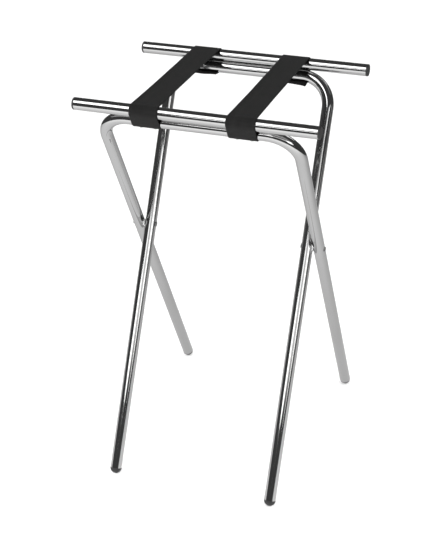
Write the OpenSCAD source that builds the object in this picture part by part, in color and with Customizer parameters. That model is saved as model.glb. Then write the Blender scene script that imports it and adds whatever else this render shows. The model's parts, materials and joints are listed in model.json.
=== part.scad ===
// Folding stand: two bent-tube leg frames crossed on a pivot axis, each with a
// straight top bar, and two webbing straps joining the bars.
// +X runs along the bars, +Y to the rear, +Z up. The origin is on the floor,
// below the middle of the stand when it is open.

/* [Tube] */
// Outside diameter of every tube
tube_d = 23.8; // [18:0.2:28]
// Wall thickness of every tube
tube_wall = 1.2; // [0.8:0.1:2]
// Radius of the corner bends, to the tube's centreline
bend_r = 60; // [45:1:80]

/* [Frames] */
// Tilt of each leg frame from the vertical when open, in degrees
tilt = 27.7; // [20:0.1:34]
// Distance from the pivot axis up to the centreline of a frame's top run
upper_len = 337; // [250:1:400]
// Distance from the pivot axis down to the centre of a foot's round end
lower_len = 515; // [400:1:600]
// Half the spacing of the outer frame's legs
outer_half_w = 194; // [170:1:215]
// Gap between an outer leg and the inner leg beside it
leg_gap = 1.2; // [0.8:0.1:3]

/* [Top bars] */
// Length of a top bar with its end caps
bar_len = 481; // [440:1:520]
// Thickness of an end cap's rim
cap_rim = 3.8; // [1.5:0.1:5]
// Length of a plug inside its tube
plug_len = 16; // [10:1:24]
// Length of each hidden weld bead between a bar and its frame
weld_len = 40; // [20:2:50]

/* [Feet] */
// Width of the flat worn on the round end where it meets the floor
foot_flat = 8; // [4:0.5:10]

/* [Pivot] */
// Shank diameter of the pivot rivets
rivet_d = 6; // [5:0.1:7]
// Radial clearance of the shank in the leg frames
rivet_clear = 0.05; // [0.02:0.01:0.1]
// Diameter of a pivot rivet's head
head_d = 10.5; // [9:0.5:14]
// Height of a pivot rivet's head
head_h = 1.5; // [1.2:0.1:4]
// Diameter of the washer between two legs
washer_d = 16; // [12:0.5:20]

/* [Straps] */
// Width of the webbing
strap_w = 57; // [40:1:58]
// Thickness of the webbing
strap_t = 2; // [1.4:0.1:2.4]
// Distance from the middle of the stand to the middle of a strap
strap_x = 94.5; // [85:0.5:100]
// How far the end of the webbing turns past the underside of the tube, in degrees
strap_turn = 48; // [20:1:60]
// Head diameter of the small rivets that hold the webbing
pin_head_d = 8; // [6:0.5:10]

/* [Hidden] */
$fn = 96;
tube_r = tube_d / 2;
bore_r = tube_r - tube_wall;
inner_half_w = outer_half_w - tube_d - leg_gap;
flat_drop = tube_r - sqrt(tube_r * tube_r - foot_flat * foot_flat / 4);
foot_z = tube_r - flat_drop;
pivot_z = lower_len * cos(tilt) + foot_z;
bar_off = upper_len + tube_d;
bar_y = bar_off * sin(tilt);
bar_z = pivot_z + bar_off * cos(tilt);
plug_r = bore_r - 0.05;
fit_gap = 0.05;
outer_side = -1;
inner_side = 1;
strap_r = tube_r + fit_gap;
span_lift = 0.3;
pin_d = 3.2;
pin_hole_r = pin_d / 2 + 0.05;
pin_tail_d = 4.8;
pin_head_h = 0.8;
pin_pitch = strap_w * 0.5;
pin_angle = 60;
weld_reach = 5;
black = [0.05, 0.05, 0.05];
steel = [0.78, 0.79, 0.8];

// Places a leaning frame drawn with its pivot at the origin and its legs along Z.
// A frame's own +Y is its inward face, so the rear frame is turned about Z.
module lean(side) {
    translate([0, 0, pivot_z])
        rotate([-side * tilt, 0, 0])
            rotate([0, 0, side > 0 ? 180 : 0])
                children();
}

// A straight rod along Z between two heights.
module rod(r, z0, z1) {
    translate([0, 0, z0])
        cylinder(r = r, h = z1 - z0);
}

// A rod along X, centred.
module cross_rod(r, length) {
    rotate([0, 90, 0])
        cylinder(r = r, h = length, center = true);
}

// The solid path of a U frame at one radius: two legs, two bends and the top run.
module u_path(half_w, r, extra) {
    for (s = [-1, 1]) {
        translate([s * half_w, 0, 0])
            rod(r, -lower_len - extra, upper_len - bend_r);
        translate([s * (half_w - bend_r), 0, upper_len - bend_r])
            rotate([90, 0, 0])
                rotate([0, 0, s > 0 ? 0 : 90])
                    rotate_extrude(angle = 90)
                        translate([bend_r, 0])
                            circle(r = r);
    }
    translate([0, 0, upper_len])
        cross_rod(r, 2 * (half_w - bend_r));
}

// Sets a child on each small strap rivet's axis, its +Z pointing down and out of the run.
module at_pins(hand) {
    for (s = [-1, 1])
        translate([hand * strap_x + s * pin_pitch / 2, 0, upper_len])
            rotate([90 + pin_angle, 0, 0])
                children();
}

// A hollow U frame, drilled for the pivot rivets and for the small strap rivets.
module leg_frame(half_w) {
    difference() {
        u_path(half_w, tube_r, 0);
        u_path(half_w, bore_r, 1);
        cross_rod(rivet_d / 2 + rivet_clear, 2 * (half_w + tube_d));
        for (hand = [-1, 1])
            at_pins(hand)
                rod(pin_hole_r, bore_r - 2, tube_d);
    }
}

module outer_leg_frame() {
    color(steel)
        lean(outer_side)
            leg_frame(outer_half_w);
}

module inner_leg_frame() {
    color(steel)
        lean(inner_side)
            leg_frame(inner_half_w);
}

// A straight open tube resting on a frame's top run.
module top_bar(side) {
    color(steel)
        lean(side)
            translate([0, 0, bar_off])
                difference() {
                    cross_rod(tube_r, bar_len - 2 * cap_rim);
                    cross_rod(bore_r, bar_len);
                }
}

module front_top_bar() {
    top_bar(outer_side);
}

module rear_top_bar() {
    top_bar(inner_side);
}

// Two weld beads filling the groove between bar and run, on the outward face.
module bar_welds(side) {
    color(steel)
        lean(side)
            for (s = [-1, 1])
                translate([s * strap_x, 0, 0])
                    difference() {
                        translate([-weld_len / 2, -weld_reach, bar_off - tube_r - 3])
                            cube([weld_len, weld_reach - 1.6, 6]);
                        translate([0, 0, bar_off])
                            cross_rod(tube_r, weld_len + 2);
                        translate([0, 0, upper_len])
                            cross_rod(tube_r, weld_len + 2);
                    }
}

module front_bar_welds() {
    bar_welds(outer_side);
}

module rear_bar_welds() {
    bar_welds(inner_side);
}

// A hollow plug along +Z from z = 0 downwards, with two grip rings.
module plug() {
    difference() {
        union() {
            rod(plug_r - 0.25, -plug_len, 0.5);
            for (z = [-plug_len * 0.75, -plug_len * 0.35])
                rod(plug_r, z, z + 1.6);
        }
        rod(plug_r - 2.2, -plug_len - 1, -2);
    }
}

// An end cap: the plug, a rim as wide as the tube, and an eased outer edge.
module bar_cap(side, hand) {
    color(black)
        lean(side)
            translate([hand * (bar_len / 2 - cap_rim), 0, bar_off])
                rotate([0, hand * 90, 0]) {
                    plug();
                    rod(tube_r, 0, cap_rim - 0.8);
                    translate([0, 0, cap_rim - 0.8])
                        cylinder(r1 = tube_r, r2 = tube_r - 0.8, h = 0.8);
                }
}

// A frame turned to face inward swaps its own left and right.
module front_bar_cap_left() {
    bar_cap(outer_side, -1);
}

module front_bar_cap_right() {
    bar_cap(outer_side, 1);
}

module rear_bar_cap_left() {
    bar_cap(inner_side, 1);
}

module rear_bar_cap_right() {
    bar_cap(inner_side, -1);
}

// A foot: a round end as wide as the tube, a plug up the leg, and a floor flat.
module foot(side, half_w, hand) {
    color(black)
        difference() {
            lean(side)
                translate([hand * half_w, 0, -lower_len]) {
                    mirror([0, 0, 1])
                        plug();
                    difference() {
                        sphere(r = tube_r);
                        rod(tube_r + 1, 0, tube_r + 1);
                    }
                }
            translate([0, 0, -tube_d])
                cube([4 * outer_half_w, 4 * lower_len, 2 * tube_d], center = true);
        }
}

module rear_foot_left() {
    foot(outer_side, outer_half_w, -1);
}

module rear_foot_right() {
    foot(outer_side, outer_half_w, 1);
}

module front_foot_left() {
    foot(inner_side, inner_half_w, 1);
}

module front_foot_right() {
    foot(inner_side, inner_half_w, -1);
}

// A low domed head standing on z = 0.
module dome_head(d, h) {
    rod(d / 2, 0, h * 0.3);
    ball_r = (d * d / 4 + h * h * 0.49) / (2 * h * 0.7);
    translate([0, 0, h * 0.3])
        intersection() {
            translate([0, 0, h * 0.7 - ball_r])
                sphere(r = ball_r);
            rod(d / 2, 0, h);
        }
}

// A pivot rivet through one pair of legs, headed on both sides.
module pivot_rivet(hand) {
    x0 = inner_half_w - tube_r - fit_gap;
    x1 = outer_half_w + tube_r + fit_gap;
    color(steel)
        translate([0, 0, pivot_z])
            rotate([0, hand * 90, 0]) {
                rod(rivet_d / 2, x0 - 0.2, x1 + 0.2);
                translate([0, 0, x1])
                    dome_head(head_d, head_h);
                translate([0, 0, x0])
                    mirror([0, 0, 1])
                        dome_head(head_d, head_h);
            }
}

module pivot_rivet_left() {
    pivot_rivet(-1);
}

module pivot_rivet_right() {
    pivot_rivet(1);
}

// A flat washer on the rivet, between an outer and an inner leg.
module pivot_washer(hand) {
    x0 = inner_half_w + tube_r + fit_gap;
    x1 = outer_half_w - tube_r - fit_gap;
    color(steel)
        translate([0, 0, pivot_z])
            rotate([0, hand * 90, 0])
                difference() {
                    rod(washer_d / 2, x0, x1);
                    rod(rivet_d / 2 + 0.1, x0 - 1, x1 + 1);
                }
}

module pivot_washer_left() {
    pivot_washer(-1);
}

module pivot_washer_right() {
    pivot_washer(1);
}

// The outline of a band about the bar and the run behind it, seen along X.
module band_outline(r) {
    for (z = [upper_len, bar_off])
        translate([0, z])
            circle(r = r);
    translate([-r, upper_len])
        square([2 * r, tube_d]);
}

// The end of a strap: over the bar, down the outward face and under the frame's run.
module strap_wrap(side, hand) {
    reach = 2 * tube_d;
    turn = 90 + strap_turn;
    color(black)
        lean(side)
            difference() {
                translate([hand * strap_x - strap_w / 2, 0, 0])
                    rotate([90, 0, 90])
                        linear_extrude(strap_w)
                            difference() {
                                band_outline(strap_r + strap_t);
                                band_outline(strap_r);
                                polygon([
                                    [0, bar_off],
                                    [reach * sin(tilt), bar_off + reach * cos(tilt)],
                                    [2 * reach, bar_off],
                                    [2 * reach, upper_len - reach],
                                    [-reach * cos(turn), upper_len - reach * sin(turn)],
                                    [0, upper_len],
                                ]);
                            }
                u_path(side > 0 ? inner_half_w : outer_half_w, strap_r - 0.03, 0);
                at_pins(hand)
                    rod(pin_hole_r, bore_r, tube_d);
            }
}

module left_strap_front_wrap() {
    strap_wrap(outer_side, -1);
}

module right_strap_front_wrap() {
    strap_wrap(outer_side, 1);
}

module left_strap_rear_wrap() {
    strap_wrap(inner_side, 1);
}

module right_strap_rear_wrap() {
    strap_wrap(inner_side, -1);
}

// The flat span between the two bars.
module strap_span(hand) {
    color(black)
        translate([hand * strap_x - strap_w / 2, -bar_y + fit_gap, bar_z + tube_r + span_lift])
            cube([strap_w, 2 * bar_y - fit_gap - span_lift, strap_t + fit_gap - span_lift]);
}

module left_strap_span() {
    strap_span(-1);
}

module right_strap_span() {
    strap_span(1);
}

// Two blind rivets that pin the end of a strap to the frame's run.
module strap_rivets(side, hand) {
    color(steel)
        lean(side)
            at_pins(hand) {
                rod(pin_tail_d / 2, bore_r - 3, bore_r - 0.4);
                rod(pin_d / 2, bore_r - 1, strap_r + strap_t + 0.5);
                translate([0, 0, strap_r + strap_t + 0.05])
                    dome_head(pin_head_d, pin_head_h);
            }
}

module left_strap_front_rivets() {
    strap_rivets(outer_side, -1);
}

module right_strap_front_rivets() {
    strap_rivets(outer_side, 1);
}

module left_strap_rear_rivets() {
    strap_rivets(inner_side, 1);
}

module right_strap_rear_rivets() {
    strap_rivets(inner_side, -1);
}

outer_leg_frame();
inner_leg_frame();
front_top_bar();
rear_top_bar();
front_bar_welds();
rear_bar_welds();
front_bar_cap_left();
front_bar_cap_right();
rear_bar_cap_left();
rear_bar_cap_right();
rear_foot_left();
rear_foot_right();
front_foot_left();
front_foot_right();
pivot_rivet_left();
pivot_rivet_right();
pivot_washer_left();
pivot_washer_right();
left_strap_front_wrap();
left_strap_span();
left_strap_rear_wrap();
right_strap_front_wrap();
right_strap_span();
right_strap_rear_wrap();
left_strap_front_rivets();
left_strap_rear_rivets();
right_strap_front_rivets();
right_strap_rear_rivets();
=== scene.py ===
import json
import math

import bmesh
import bpy
from mathutils import Matrix, Vector


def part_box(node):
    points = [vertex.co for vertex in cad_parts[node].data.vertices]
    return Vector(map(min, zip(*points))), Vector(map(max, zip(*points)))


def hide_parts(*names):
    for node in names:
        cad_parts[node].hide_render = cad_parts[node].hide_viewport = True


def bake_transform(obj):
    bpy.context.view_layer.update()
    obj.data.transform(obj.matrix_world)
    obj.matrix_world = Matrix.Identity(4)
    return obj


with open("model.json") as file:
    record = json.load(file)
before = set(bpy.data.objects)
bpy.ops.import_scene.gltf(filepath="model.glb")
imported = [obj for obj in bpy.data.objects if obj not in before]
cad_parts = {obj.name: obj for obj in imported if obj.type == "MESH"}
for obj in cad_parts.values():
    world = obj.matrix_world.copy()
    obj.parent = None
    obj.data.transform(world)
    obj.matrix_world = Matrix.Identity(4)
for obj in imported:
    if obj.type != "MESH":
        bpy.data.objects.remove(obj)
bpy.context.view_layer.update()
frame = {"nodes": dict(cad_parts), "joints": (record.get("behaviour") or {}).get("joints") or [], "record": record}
record = frame["record"]
fold = frame["joints"][0]
pivot = Vector(fold["pos_m"])

# Camera at the photograph's viewing angle: turns, focal length in picture rows, and place in metres -----
PITCH, YAW, ROLL = math.radians(28.41), math.radians(20.85), math.radians(1.29)
FOCAL_ROWS, PICTURE_ROWS = 1318.97, 537
SENSOR_MM = 36
CAMERA_AT = Vector((0.82702, -2.24721, 1.68479))
forward = Vector((-math.sin(YAW) * math.cos(PITCH), math.cos(YAW) * math.cos(PITCH), -math.sin(PITCH)))
level_right = Vector((math.cos(YAW), math.sin(YAW), 0))
level_down = forward.cross(level_right)
right = level_right * math.cos(ROLL) + level_down * math.sin(ROLL)
down = -level_right * math.sin(ROLL) + level_down * math.cos(ROLL)
camera_data = bpy.data.cameras.new("camera")
camera_data.sensor_width = SENSOR_MM
camera_data.lens = FOCAL_ROWS * SENSOR_MM / PICTURE_ROWS
camera_data.clip_end = 60
camera = bpy.data.objects.new("camera", camera_data)
camera.matrix_world = Matrix((
    (right.x, -down.x, -forward.x, CAMERA_AT.x),
    (right.y, -down.y, -forward.y, CAMERA_AT.y),
    (right.z, -down.z, -forward.z, CAMERA_AT.z),
    (0, 0, 0, 1),
))
bpy.context.scene.collection.objects.link(camera)
bpy.context.scene.camera = camera
bpy.context.scene.view_settings.view_transform = "Standard"


# Node helpers ---------------------------------------------------------------------------
class Tree:
    """Builds one material's nodes."""

    def __init__(self, name):
        self.material = bpy.data.materials.new(name)
        self.material.use_nodes = True
        self.nodes = self.material.node_tree.nodes
        self.links = self.material.node_tree.links
        self.shader = self.nodes["Principled BSDF"]

    def new(self, kind, **values):
        node = self.nodes.new(kind)
        for key, value in values.items():
            setattr(node, key, value)
        return node

    def feed(self, socket, value):
        if isinstance(value, bpy.types.NodeSocket):
            self.links.new(value, socket)
        else:
            socket.default_value = value

    def math(self, operation, a, b=0.0, c=0.0):
        node = self.new("ShaderNodeMath", operation=operation)
        for socket, value in zip(node.inputs, (a, b, c)):
            self.feed(socket, value)
        return node.outputs[0]

    def place(self, turn=(0, 0, 0), scale=(1, 1, 1)):
        """Object coordinates, turned and scaled."""
        source = self.new("ShaderNodeTexCoord").outputs["Object"]
        turned = self.new("ShaderNodeVectorRotate", rotation_type="EULER_XYZ")
        self.feed(turned.inputs["Vector"], source)
        turned.inputs["Rotation"].default_value = turn
        scaled = self.new("ShaderNodeVectorMath", operation="MULTIPLY")
        self.feed(scaled.inputs[0], turned.outputs[0])
        scaled.inputs[1].default_value = scale
        return scaled.outputs[0]

    def noise(self, vector, scale, detail=3.0, rough=0.5):
        node = self.new("ShaderNodeTexNoise")
        self.feed(node.inputs["Vector"], vector)
        node.inputs["Scale"].default_value = scale
        node.inputs["Detail"].default_value = detail
        node.inputs["Roughness"].default_value = rough
        return node.outputs["Fac"]

    def span(self, value, low, high, to_low=0.0, to_high=1.0):
        node = self.new("ShaderNodeMapRange")
        for socket, number in zip(node.inputs, (value, low, high, to_low, to_high)):
            self.feed(socket, number)
        return node.outputs[0]

    def ramp(self, value, *stops):
        node = self.new("ShaderNodeValToRGB")
        self.feed(node.inputs["Fac"], value)
        elements = node.color_ramp.elements
        while len(elements) < len(stops):
            elements.new(0.5)
        for element, (at, colour) in zip(elements, stops):
            element.position = at
            element.color = (*colour, 1)
        return node.outputs["Color"]

    def bump(self, height, distance, strength=1.0, normal=None):
        node = self.new("ShaderNodeBump")
        self.feed(node.inputs["Height"], height)
        node.inputs["Distance"].default_value = distance
        node.inputs["Strength"].default_value = strength
        if normal is not None:
            self.feed(node.inputs["Normal"], normal)
        return node.outputs[0]

    def set(self, **values):
        for key, value in values.items():
            self.feed(self.shader.inputs[key.replace("_", " ")], value)
        return self.material


def grey(value, warm=0.0):
    return (value * (1 + warm), value, value * (1 - warm))


# Frame sizes: tube radius, bend radius, lean from upright, and leg length from pivot to top run -------
bar_low, bar_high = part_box("front_top_bar")
TUBE_R = (bar_high.z - bar_low.z) / 2
BEND_R = 0.060
LEAN = math.radians(27.7)
UPPER = 0.337
MESH_AGREES = 0.8


def tube_normal(t, centre, lean, half_width):
    """A tube's exact outward direction, from its centreline.

    The tube is a U frame, or a straight bar along X when no half width is given. On other faces, such as the
    ends and the holes, the mesh's own direction is kept.
    """
    moved = t.new("ShaderNodeVectorMath", operation="SUBTRACT")
    t.feed(moved.inputs[0], t.place())
    moved.inputs[1].default_value = centre
    turned = t.new("ShaderNodeVectorRotate", rotation_type="X_AXIS")
    t.feed(turned.inputs["Vector"], moved.outputs[0])
    turned.inputs["Angle"].default_value = lean
    own = t.new("ShaderNodeSeparateXYZ")
    t.feed(own.inputs[0], turned.outputs[0])
    x, y, z = own.outputs
    made = t.new("ShaderNodeCombineXYZ")
    t.feed(made.inputs["Y"], y)
    if half_width is None:
        t.feed(made.inputs["Z"], z)
    else:
        side = t.math("MAXIMUM", t.math("SUBTRACT", t.math("ABSOLUTE", x), half_width - BEND_R), 0.0)
        rise = t.math("MAXIMUM", t.math("SUBTRACT", z, UPPER - BEND_R), 0.0)
        squares = t.math("MULTIPLY", side, side), t.math("MULTIPLY", rise, rise)
        reach = t.math("SQRT", t.math("ADD", *squares))
        share = t.math("SUBTRACT", 1.0, t.math("DIVIDE", BEND_R, t.math("MAXIMUM", reach, 0.001)))
        t.feed(made.inputs["X"], t.math("MULTIPLY", t.math("MULTIPLY", side, share), t.math("SIGN", x)))
        t.feed(made.inputs["Z"], t.math("MULTIPLY", rise, share))
    back = t.new("ShaderNodeVectorRotate", rotation_type="X_AXIS")
    t.feed(back.inputs["Vector"], made.outputs[0])
    back.inputs["Angle"].default_value = -lean
    placed = t.new("ShaderNodeVectorTransform", vector_type="NORMAL",
                   convert_from="OBJECT", convert_to="WORLD")
    t.feed(placed.inputs[0], back.outputs[0])
    unit = t.new("ShaderNodeVectorMath", operation="NORMALIZE")
    t.feed(unit.inputs[0], placed.outputs[0])
    mesh_normal = t.new("ShaderNodeNewGeometry").outputs["Normal"]
    facing = t.new("ShaderNodeVectorMath", operation="DOT_PRODUCT")
    t.feed(facing.inputs[0], unit.outputs[0])
    t.feed(facing.inputs[1], mesh_normal)
    choose = t.new("ShaderNodeMix", data_type="VECTOR")
    t.feed(choose.inputs[0], t.math("GREATER_THAN", facing.outputs["Value"], MESH_AGREES))
    t.feed(choose.inputs[4], mesh_normal)
    t.feed(choose.inputs[5], unit.outputs[0])
    return choose.outputs[1]


# Chrome: mirror plate with polishing lines along the tube, faint waves and dull smears -------
def chrome(name, centre, lean, half_width):
    """Polishing lines run along X on the bars and top runs, and along the legs below the bends."""
    t = Tree(name)
    plain = t.place()
    lines = t.noise(t.place(scale=(0.03, 1, 1)), 900, 2)
    if half_width is not None:
        height = t.new("ShaderNodeSeparateXYZ")
        t.feed(height.inputs[0], plain)
        upper = t.span(height.outputs["Z"], pivot.z + 0.235, pivot.z + 0.265)
        along = t.noise(t.place(turn=(lean, 0, 0), scale=(1, 1, 0.03)), 900, 2)
        lines = t.math("ADD", t.math("MULTIPLY", lines, upper),
                       t.math("MULTIPLY", along, t.math("SUBTRACT", 1.0, upper)))
    smear = t.span(t.noise(plain, 14, 4, 0.6), 0.48, 0.72)
    pits = t.span(t.noise(plain, 1500, 2), 0.74, 0.8)
    wave = t.bump(t.noise(plain, 30, 2), 0.0004, 0.06, tube_normal(t, centre, lean, half_width))
    fine = t.bump(lines, 0.00001, 0.12, wave)
    dull = t.math("MULTIPLY_ADD", smear, 0.04, t.math("MULTIPLY_ADD", lines, 0.03, 0.035))
    dull = t.math("MULTIPLY_ADD", pits, 0.12, dull)
    colour = t.ramp(t.noise(plain, 5, 3), (0.3, grey(0.49, 0.004)), (0.75, grey(0.53, -0.004)))
    return t.set(Base_Color=colour, Metallic=1.0, Roughness=dull, Normal=fine)


# Moulded plastic: satin skin with a fine grain and paler rubbed high spots
def plastic(name, base, grain, rub_low, rub_high):
    t = Tree(name)
    plain = t.place()
    height = t.new("ShaderNodeSeparateXYZ")
    t.feed(height.inputs[0], plain)
    worn = t.math("MULTIPLY", t.span(height.outputs["Z"], rub_high, rub_low),
                  t.span(t.noise(plain, 420, 5, 0.7), 0.42, 0.62))
    tone = t.math("MULTIPLY_ADD", worn, 0.55, t.math("MULTIPLY", t.noise(plain, 160, 4), 0.4))
    colour = t.ramp(tone, (0.1, grey(base * 0.75)), (0.45, grey(base * 1.3)), (1.0, grey(base * 6, 0.05)))
    skin = t.bump(t.noise(plain, 2600, 3), 0.00012, grain)
    skin = t.bump(t.noise(plain, 300, 3), 0.0003, 0.25, skin)
    dull = t.math("MULTIPLY_ADD", t.noise(plain, 700, 3), 0.2, 0.36)
    return t.set(Base_Color=colour, Roughness=t.math("MULTIPLY_ADD", worn, 0.25, dull), Normal=skin)


# Plated steel: turned rings round an axis along X, or plain fine marks -----------------------
RINGS_PER_METRE = 15000.0


def steel(name, base, centre, tint, metallic=1.0, dullness=0.16):
    t = Tree(name)
    plain = t.place()
    axis = t.new("ShaderNodeSeparateXYZ")
    t.feed(axis.inputs[0], plain)
    squares = [
        t.math("POWER", t.math("SUBTRACT", axis.outputs[letter], centre[place]), 2.0)
        for letter, place in (("Y", 1), ("Z", 2))
    ]
    radius = t.math("SQRT", t.math("ADD", *squares))
    wander = t.math("MULTIPLY", t.noise(plain, 300, 2), 5.0)
    rings = t.math("SINE", t.math("MULTIPLY_ADD", radius, RINGS_PER_METRE, wander))
    stain = t.noise(plain, 260, 4, 0.6)
    bright = [base * share for share in tint]
    colour = t.ramp(stain, (0.3, [0.7 * value for value in bright]), (0.7, bright))
    dull = t.math("MULTIPLY_ADD", stain, 0.25, t.math("MULTIPLY_ADD", rings, 0.04, dullness))
    return t.set(Base_Color=colour, Metallic=metallic, Roughness=dull, Normal=t.bump(rings, 0.00002, 0.5))


# Webbing: interlaced yarns over a flat map in metres, with cord edges and fused ends, and painted shade in the
# gaps between yarns
STRAP_WIDTH, STRAP_LENGTH = 0.057, 0.4986
YARN, PICK, CORD = 0.0016, 0.00135, 0.0009


def webbing(name):
    t = Tree(name)
    flat = t.new("ShaderNodeSeparateXYZ")
    t.feed(flat.inputs[0], t.new("ShaderNodeUVMap", uv_map="flat_map").outputs[0])
    plain = t.place()

    def counted(way, wobble, reach, step):
        """How many yarns along, with a slight wobble."""
        moved = t.math("MULTIPLY", t.noise(plain, wobble, 2), reach)
        return t.math("DIVIDE", t.math("ADD", flat.outputs[way], moved), step)

    def strand(n):
        """A rounded top across each strand."""
        centred = t.math("MULTIPLY_ADD", t.math("FRACT", n), 2.0, -1.0)
        return t.math("SUBTRACT", 1.0, t.math("POWER", t.math("ABSOLUTE", centred), 2.0))

    def rise(n, other, start):
        """How far a strand is on top where it crosses the others."""
        turn = t.math("MULTIPLY", t.math("ADD", n, t.math("ADD", t.math("FLOOR", other), start)), math.pi)
        return t.math("MULTIPLY_ADD", t.math("COSINE", turn), 0.5, 0.5)

    u = counted("X", 120, 0.0003, YARN)
    v = counted("Y", 90, 0.0004, PICK)
    warp = t.math("MULTIPLY", strand(u), rise(v, u, 0.5))
    weft = t.math("MULTIPLY", strand(v), rise(u, v, 1.5))
    weave = t.math("MAXIMUM", warp, t.math("MULTIPLY", weft, 0.8))
    edge = t.span(t.math("ABSOLUTE", flat.outputs["X"]), STRAP_WIDTH / 2 - 0.0026, STRAP_WIDTH / 2 - 0.0018)
    cord = t.math("MULTIPLY", strand(t.math("DIVIDE", flat.outputs["X"], CORD)), edge)
    weave = t.math("ADD", t.math("MULTIPLY", weave, t.math("SUBTRACT", 1.0, edge)), cord)
    middle = t.math("ABSOLUTE", t.math("SUBTRACT", flat.outputs["Y"], STRAP_LENGTH / 2))
    fused = t.span(middle, STRAP_LENGTH / 2 - 0.0028, STRAP_LENGTH / 2 - 0.0012)
    weave = t.math("MULTIPLY", weave, t.math("SUBTRACT", 1.0, fused))
    fuzz = t.noise(plain, 2400, 4, 0.7)
    yarn_tone = t.new("ShaderNodeTexWhiteNoise", noise_dimensions="1D")
    t.feed(yarn_tone.inputs["W"], t.math("FLOOR", u))
    pick_tone = t.new("ShaderNodeTexWhiteNoise", noise_dimensions="1D")
    t.feed(pick_tone.inputs["W"], t.math("FLOOR", v))
    # Painted shade: the weave height also sets the colour, lighter on yarn crowns and darker in the gaps between
    # and under yarns.
    tone = t.math("MULTIPLY_ADD", weave, 0.42, t.math("MULTIPLY", fuzz, 0.2))
    tone = t.math("MULTIPLY_ADD", yarn_tone.outputs["Value"], 0.1, tone)
    tone = t.math("MULTIPLY_ADD", pick_tone.outputs["Value"], 0.14, tone)
    tone = t.math("MULTIPLY_ADD", t.noise(plain, 26, 4, 0.6), 0.3, tone)
    colour = t.ramp(tone, (0.15, grey(0.002)), (0.6, grey(0.006, 0.01)), (1.0, grey(0.014, 0.02)))
    height = t.math("MULTIPLY_ADD", fuzz, 0.25, weave)
    relief = t.bump(height, 0.00035, 0.75)
    dull = t.math("SUBTRACT", t.math("MULTIPLY_ADD", fuzz, 0.15, 0.72), t.math("MULTIPLY", fused, 0.4))
    t.set(Base_Color=colour, Roughness=dull, Normal=relief)
    return t.set(Sheen_Weight=0.03, Sheen_Roughness=0.5, Specular_IOR_Level=0.15)


# Materials on the CAD nodes ------------------------------------------------------------------
chromes = {}
for bar in ("front_top_bar", "rear_top_bar"):
    low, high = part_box(bar)
    chromes[bar] = chrome("chrome_" + bar, (low + high) / 2, 0.0, None)
for legs, lean in (("outer_leg_frame", -LEAN), ("inner_leg_frame", LEAN)):
    chromes[legs] = chrome("chrome_" + legs, pivot, lean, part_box(legs)[1].x - TUBE_R)
cap_low, cap_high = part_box("front_bar_cap_left")
materials = {
    "cap_plastic": plastic("cap_moulded", 0.012, 0.4, cap_low.z - 0.01, cap_high.z + 0.01),
    "foot_plastic": plastic("foot_moulded", 0.013, 0.6, 0.0, 0.012),
    "pivot_steel": steel("pivot_plate", 0.34, pivot, (1, 1, 1.01)),
    "washer_steel": steel("washer_plate", 0.95, pivot, (1, 1, 1), 0.4, 0.3),
    "chrome_tube": steel("weld_plate", 0.5, (0, 0, 0.75), (1, 1, 1)),
    "strap_rivet_steel": steel("strap_rivet_plate", 0.45, (0, 0, 0.75), (1, 0.99, 0.97)),
}
for part in record["subparts"]:
    node = frame["nodes"][part["node"]]
    chosen = chromes.get(part["node"], materials.get(part["material_slot"]))
    if chosen:
        for holder in node.material_slots:
            holder.material = chosen

# Straps: one continuous band each, from under the front run to under the rear run ----------------
# Paths are drawn in (y, z), and UP and OUT are the front frame's own directions.
BAR_Y = -(bar_low.y + bar_high.y) / 2
BAR_Z = (bar_low.z + bar_high.z) / 2
BAND_R = TUBE_R + 0.00105
UP = Vector((-math.sin(LEAN), math.cos(LEAN)))
OUT = Vector((-math.cos(LEAN), -math.sin(LEAN)))
BAR = Vector((-BAR_Y, BAR_Z))
RUN = BAR - UP * 2 * TUBE_R
BEND_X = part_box("inner_leg_frame")[1].x - TUBE_R - BEND_R
TAIL_TURN, LEAVE = math.radians(-138), math.radians(-70)
TAIL_LENGTH = 0.0154
OPEN_HALF = BAR_Y - 0.004
WAIST, SAG, CUP, RIPPLE = 0.03, 0.0012, 0.0006, 0.00012
HALF_THICK, EDGE_ROLL = 0.00088, 0.00007
SKEW_FRONT, SKEW_REAR = -0.0008, -0.003


def half_path(free_tail):
    """One half of the path, from its end under the run to the top of the bar.

    Each entry is a point, its outward direction, the sine of its angle round the run, how far it follows the
    run's bend, and how far along the free tail it is.
    """
    points = []
    for i in range(29):
        turn = TAIL_TURN * (1 - i / 28)
        a = max(turn, LEAVE) if free_tail else turn
        n = OUT * math.cos(a) + UP * math.sin(a)
        along = (a - turn) * BAND_R
        p = RUN + n * BAND_R + (OUT * math.sin(a) - UP * math.cos(a)) * along
        points.append((p, n, math.sin(a), 1.0, along / TAIL_LENGTH))
    for i in range(1, 12):
        points.append((RUN + OUT * BAND_R + UP * 2 * TUBE_R * i / 12, OUT, 0.0, 1 - i / 12, 0.0))
    for i in range(25):
        a = (math.pi / 2 + LEAN) * i / 24
        n = OUT * math.cos(a) + UP * math.sin(a)
        points.append((BAR + n * BAND_R, n, 0.0, 0.0, 0.0))
    return points


def band_path():
    """The front half, the span, and the rear half, whose tail hangs free of the run."""
    top = BAR.y + BAND_R
    span = [
        (Vector((-BAR_Y + BAR_Y * i / 60, top)), Vector((0, 1)), 0.0, 0.0, 0.0)
        for i in range(1, 120)
    ]
    rear = [
        (Vector((-p.x, p.y)), Vector((-n.x, n.y)), s, f, t)
        for p, n, s, f, t in half_path(True)[::-1]
    ]
    return half_path(False) + span + rear


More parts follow.
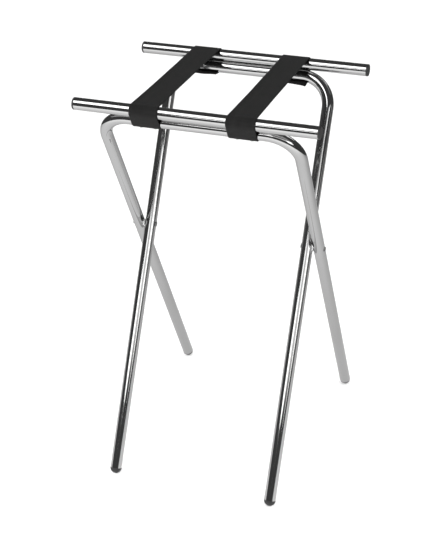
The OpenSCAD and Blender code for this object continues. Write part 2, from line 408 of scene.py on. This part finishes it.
def strap(name, centre, hand):
    """A closed band of webbing, one ring of points for each step along the path, and its length."""
    path = band_path()
    lengths = [0.0]
    for a, b in zip(path, path[1:]):
        lengths.append(lengths[-1] + (b[0] - a[0]).length)
    total = lengths[-1]
    half = STRAP_WIDTH / 2
    columns = 36
    shape = bmesh.new()
    flat = shape.loops.layers.uv.new("flat_map")
    rings = []
    for (p, n, s, follow, tail), at in zip(path, lengths):
        free = max(0.0, 1 - ((at - total / 2) / OPEN_HALF) ** 2)
        waist = 1 - WAIST * min(1.0, free * 1.25)
        sag = SAG * free
        skew = SKEW_FRONT + SKEW_REAR * min(1.0, max(0.0, (p.x + BAR_Y) / (2 * BAR_Y)))
        ring = []
        for side in (1, -1):
            for i in range(columns + 1):
                share = (2 * i / columns - 1) * side
                x = centre + skew + share * half * waist
                edge = max(0.0, (abs(share) - 0.955) / 0.045)
                thick = HALF_THICK * math.sqrt(max(0.0, 1 - edge ** 2)) + 0.00002
                thick += EDGE_ROLL * math.exp(-((abs(share) - 0.93) / 0.03) ** 2)
                cup = CUP * free * share * share
                ripple = RIPPLE * math.sin(at * 61 + share * 2.2) * free
                q = p + n * (side * thick) - Vector((0, 1)) * (sag - cup - ripple)
                if tail > 0:
                    if hand > 0:
                        droop = 0.0018 * (1 + share)
                    else:
                        droop = 0.0006 * (1 - share) + 0.0005 * math.cos(4 * share)
                    q = q - Vector((0, droop * tail))
                if p.x > 0 and follow > 0 and abs(x) > BEND_X:
                    reach = BEND_R + BAND_R * s
                    drop = reach - math.sqrt(max(0.0, reach ** 2 - (abs(x) - BEND_X) ** 2))
                    q = q - Vector((-UP.x, UP.y)) * drop * follow
                ring.append((shape.verts.new((x, q.x, q.y)), share * half))
        rings.append((ring, at))
    count = len(rings[0][0])

    def face(corners):
        made = shape.faces.new([c[0] for c in corners])
        made.smooth = True
        for loop, corner in zip(made.loops, corners):
            loop[flat].uv = (corner[1], corner[2])

    for (a, at), (b, bt) in zip(rings, rings[1:]):
        for i in range(count):
            j = (i + 1) % count
            face([(*a[i], at), (*a[j], at), (*b[j], bt), (*b[i], bt)])
    for (ring, at), turned in ((rings[0], True), (rings[-1], False)):
        for i in range(columns):
            j = count - 1 - i
            quad = [(*ring[i], at), (*ring[i + 1], at), (*ring[j - 1], at), (*ring[j], at)]
            face(quad[::-1] if turned else quad)
    bmesh.ops.recalc_face_normals(shape, faces=shape.faces)
    mesh = bpy.data.meshes.new(name)
    shape.to_mesh(mesh)
    shape.free()
    piece = bpy.data.objects.new(name, mesh)
    bpy.context.scene.collection.objects.link(piece)
    mesh.materials.append(webbing_material)
    return piece, total


webbing_material = webbing("webbing_black")
for side, hand in (("left", -1), ("right", 1)):
    low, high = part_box(side + "_strap_span")
    piece, total = strap(side + "_webbing", (low.x + high.x) / 2, hand)
    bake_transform(piece)
    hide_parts(side + "_strap_front_wrap", side + "_strap_span", side + "_strap_rear_wrap")


# Studio: pale floor and world, with panels that only reflections see ---------------------------
EYE = Vector((0, 0, 0.62))
FAR = 18.0
FLOOR_HALF = 25
CARD_HALF, CARD_RISE, TENT_RISE = 3.2, 0.0004, 0.0006
TENT_SIDES = 48


def emitter(name, colour, strength):
    material = bpy.data.materials.new(name)
    material.use_nodes = True
    nodes, links = material.node_tree.nodes, material.node_tree.links
    nodes.remove(nodes["Principled BSDF"])
    glow = nodes.new("ShaderNodeEmission")
    glow.inputs["Color"].default_value = (*colour, 1)
    glow.inputs["Strength"].default_value = strength
    links.new(glow.outputs[0], nodes["Material Output"].inputs["Surface"])
    return material


def add_stage(name, vertices, faces, material):
    mesh = bpy.data.meshes.new(name)
    mesh.from_pydata(vertices, [], faces)
    piece = bpy.data.objects.new(name, mesh)
    mesh.materials.append(material)
    bpy.context.scene.collection.objects.link(piece)
    return piece


def only_reflected(piece):
    piece.visible_camera = False
    piece.visible_diffuse = False
    piece.visible_shadow = False
    piece.visible_transmission = False
    piece.visible_volume_scatter = False


def square(half, z):
    return [(-half, -half, z), (half, -half, z), (half, half, z), (-half, half, z)]


def floor_material():
    t = Tree("floor_pale")
    tone = t.ramp(t.noise(t.place(), 3, 4), (0.3, grey(0.955)), (0.7, grey(0.975)))
    grain = t.bump(t.noise(t.place(), 400, 3), 0.0002, 0.2)
    return t.set(Base_Color=tone, Roughness=0.9, Specular_IOR_Level=0.0, Normal=grain)


add_stage("floor", square(FLOOR_HALF, 0), [(0, 1, 2, 3)], floor_material())


def direction(azimuth, elevation):
    a, e = math.radians(azimuth), math.radians(elevation)
    return Vector((math.sin(a) * math.cos(e), -math.cos(a) * math.cos(e), math.sin(e)))


def patch(name, azimuths, elevations, strength):
    """A far curved panel between two azimuths and two elevations, in degrees."""
    steps = 8
    row = steps + 1
    points = [
        EYE + direction(azimuths[0] + (azimuths[1] - azimuths[0]) * i / steps,
                        elevations[0] + (elevations[1] - elevations[0]) * j / steps) * FAR
        for j in range(row) for i in range(row)
    ]
    faces = [
        (j * row + i, j * row + i + 1, (j + 1) * row + i + 1, (j + 1) * row + i)
        for j in range(steps) for i in range(steps)
    ]
    only_reflected(add_stage(name, points, faces, emitter(name + "_glow", (1, 1, 1), strength)))


def tent(radius, inner, strength):
    """A dark round tent with a dark floor ring outside the floor card."""
    n = TENT_SIDES
    turns = [2 * math.pi * i / n for i in range(n)]
    rings = [(inner, TENT_RISE), (radius, TENT_RISE), (radius, radius * 0.8), (radius * 0.5, radius * 1.1)]
    points = [(r * math.cos(a), r * math.sin(a), z) for r, z in rings for a in turns]
    points.append((0, 0, radius * 1.15))
    faces = [
        (n * k + i, n * k + (i + 1) % n, n * (k + 1) + (i + 1) % n, n * (k + 1) + i)
        for k in range(3) for i in range(n)
    ]
    faces += [(3 * n + i, 3 * n + (i + 1) % n, 4 * n) for i in range(n)]
    only_reflected(add_stage("tent", points, faces, emitter("tent_dark", (1, 1, 1), strength)))


def floor_card(half, strength, *stops):
    """A card on the floor that only reflections see, brighter towards the front."""
    t = Tree("floor_card_glow")
    t.nodes.remove(t.shader)
    glow = t.new("ShaderNodeEmission")
    spot = t.new("ShaderNodeSeparateXYZ")
    t.feed(spot.inputs[0], t.place())
    t.feed(glow.inputs["Color"], t.ramp(t.span(spot.outputs["Y"], half, -half), *stops))
    glow.inputs["Strength"].default_value = strength
    t.links.new(glow.outputs[0], t.nodes["Material Output"].inputs["Surface"])
    only_reflected(add_stage("floor_card", square(half, CARD_RISE), [(0, 1, 2, 3)], t.material))


floor_card(CARD_HALF, 1.6, *((at, grey(value)) for at, value in (
    (0.25, 0.28), (0.344, 0.34), (0.414, 0.41), (0.477, 0.50),
    (0.516, 0.60), (0.586, 0.69), (0.656, 0.84), (0.734, 0.94))))
tent(20.0, 2.9, 0.07)
# Each panel: azimuths from the front towards the right, elevations, and strength.
for name, azimuths, elevations, strength in (
    ("box_high", (-62, 4), (34, 65), 3.2),
    ("box_front", (-22, 6), (17.5, 23), 3.0),
    ("box_upper", (-12, 6), (23, 27), 2.4),
    ("box_behind", (147, 178), (22, 56), 1.6),
    ("box_mid", (6, 46), (23, 28.5), 0.85),
    ("box_low", (6, 28), (18, 23), 1.0),
    ("box_lower", (28, 46), (15.5, 23), 1.0),
    ("box_side", (46, 72), (9, 24), 3.0),
    ("box_edge", (72, 112), (-8, 8), 0.33),
    ("box_left", (-98, -74), (20, 54), 1.8),
):
    patch(name, azimuths, elevations, strength)

# A dark flag beyond the bars' right ends, for the reflections there.
flag = [(0.65, -0.33, 0.66), (0.65, 0.15, 0.66), (0.65, 0.15, 0.92), (0.65, -0.33, 0.92)]
only_reflected(add_stage("flag", flag, [(0, 1, 2, 3)], emitter("flag_dark", (1, 1, 1), 0.06)))

world = bpy.data.worlds.new("world")
bpy.context.scene.world = world
world.use_nodes = True
world.node_tree.nodes["Background"].inputs["Color"].default_value = (1, 1, 1, 1)
world.node_tree.nodes["Background"].inputs["Strength"].default_value = 1.0


def area(name, place, target, size, power, shadow=True):
    light = bpy.data.lights.new(name, "AREA")
    light.shape = "DISK"
    light.size = size
    light.energy = power
    light.use_shadow = shadow
    lamp = bpy.data.objects.new(name, light)
    lamp.location = place
    lamp.rotation_mode = "QUATERNION"
    lamp.rotation_quaternion = (Vector(place) - Vector(target)).to_track_quat("Z", "Y")
    lamp.visible_camera = False
    lamp.visible_glossy = False
    bpy.context.scene.collection.objects.link(lamp)


area("key", (-1.6, -2.4, 3.2), (0, 0, 0.4), 2.2, 22)
area("fill", (2.4, 1.0, 2.6), (0, 0, 0.4), 2.0, 10)
area("front", (-0.9, -3.6, 1.3), (0, 0, 0.6), 2.0, 190, shadow=False)
